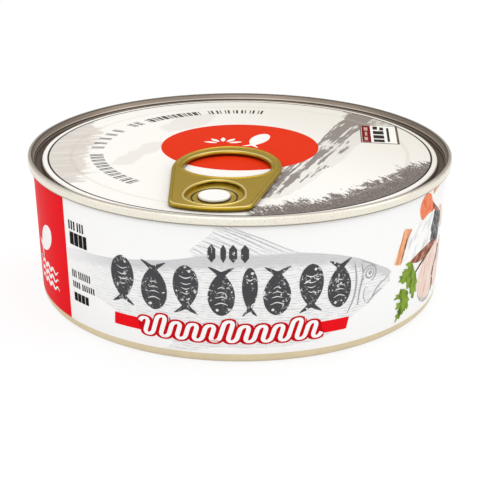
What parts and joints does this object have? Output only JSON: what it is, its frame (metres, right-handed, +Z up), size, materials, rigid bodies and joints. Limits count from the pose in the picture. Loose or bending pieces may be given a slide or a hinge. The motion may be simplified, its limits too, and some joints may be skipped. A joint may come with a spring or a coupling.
{
  "type": "sardine tin",
  "caption": "Shut round fish tin: drawn printed body, double-seamed full-opening end with score line and rivet, and a gold ring-pull tab lying flat.",
  "frame": {"origin": "centre of the base, on the plane that the foot ring stands on", "axes": "+Z up through the lid; the pull tab points to -Y, a few degrees towards -X"},
  "size_m": [0.1023, 0.1022, 0.0348],
  "materials": {
    "body_print": "gloss-varnished white printed tinplate with red, grey and food-coloured fields",
    "end_coating": "satin white-coated end with grey brushed art and a red disc, cream lacquer on the seam",
    "tab_lacquer": "gold-lacquered pressed sheet, smooth and shiny"
  },
  "bodies": {
    "root": {"can_body": "body_print", "lid_end": "end_coating", "pull_tab": "tab_lacquer"}
  },
  "joints": []
}
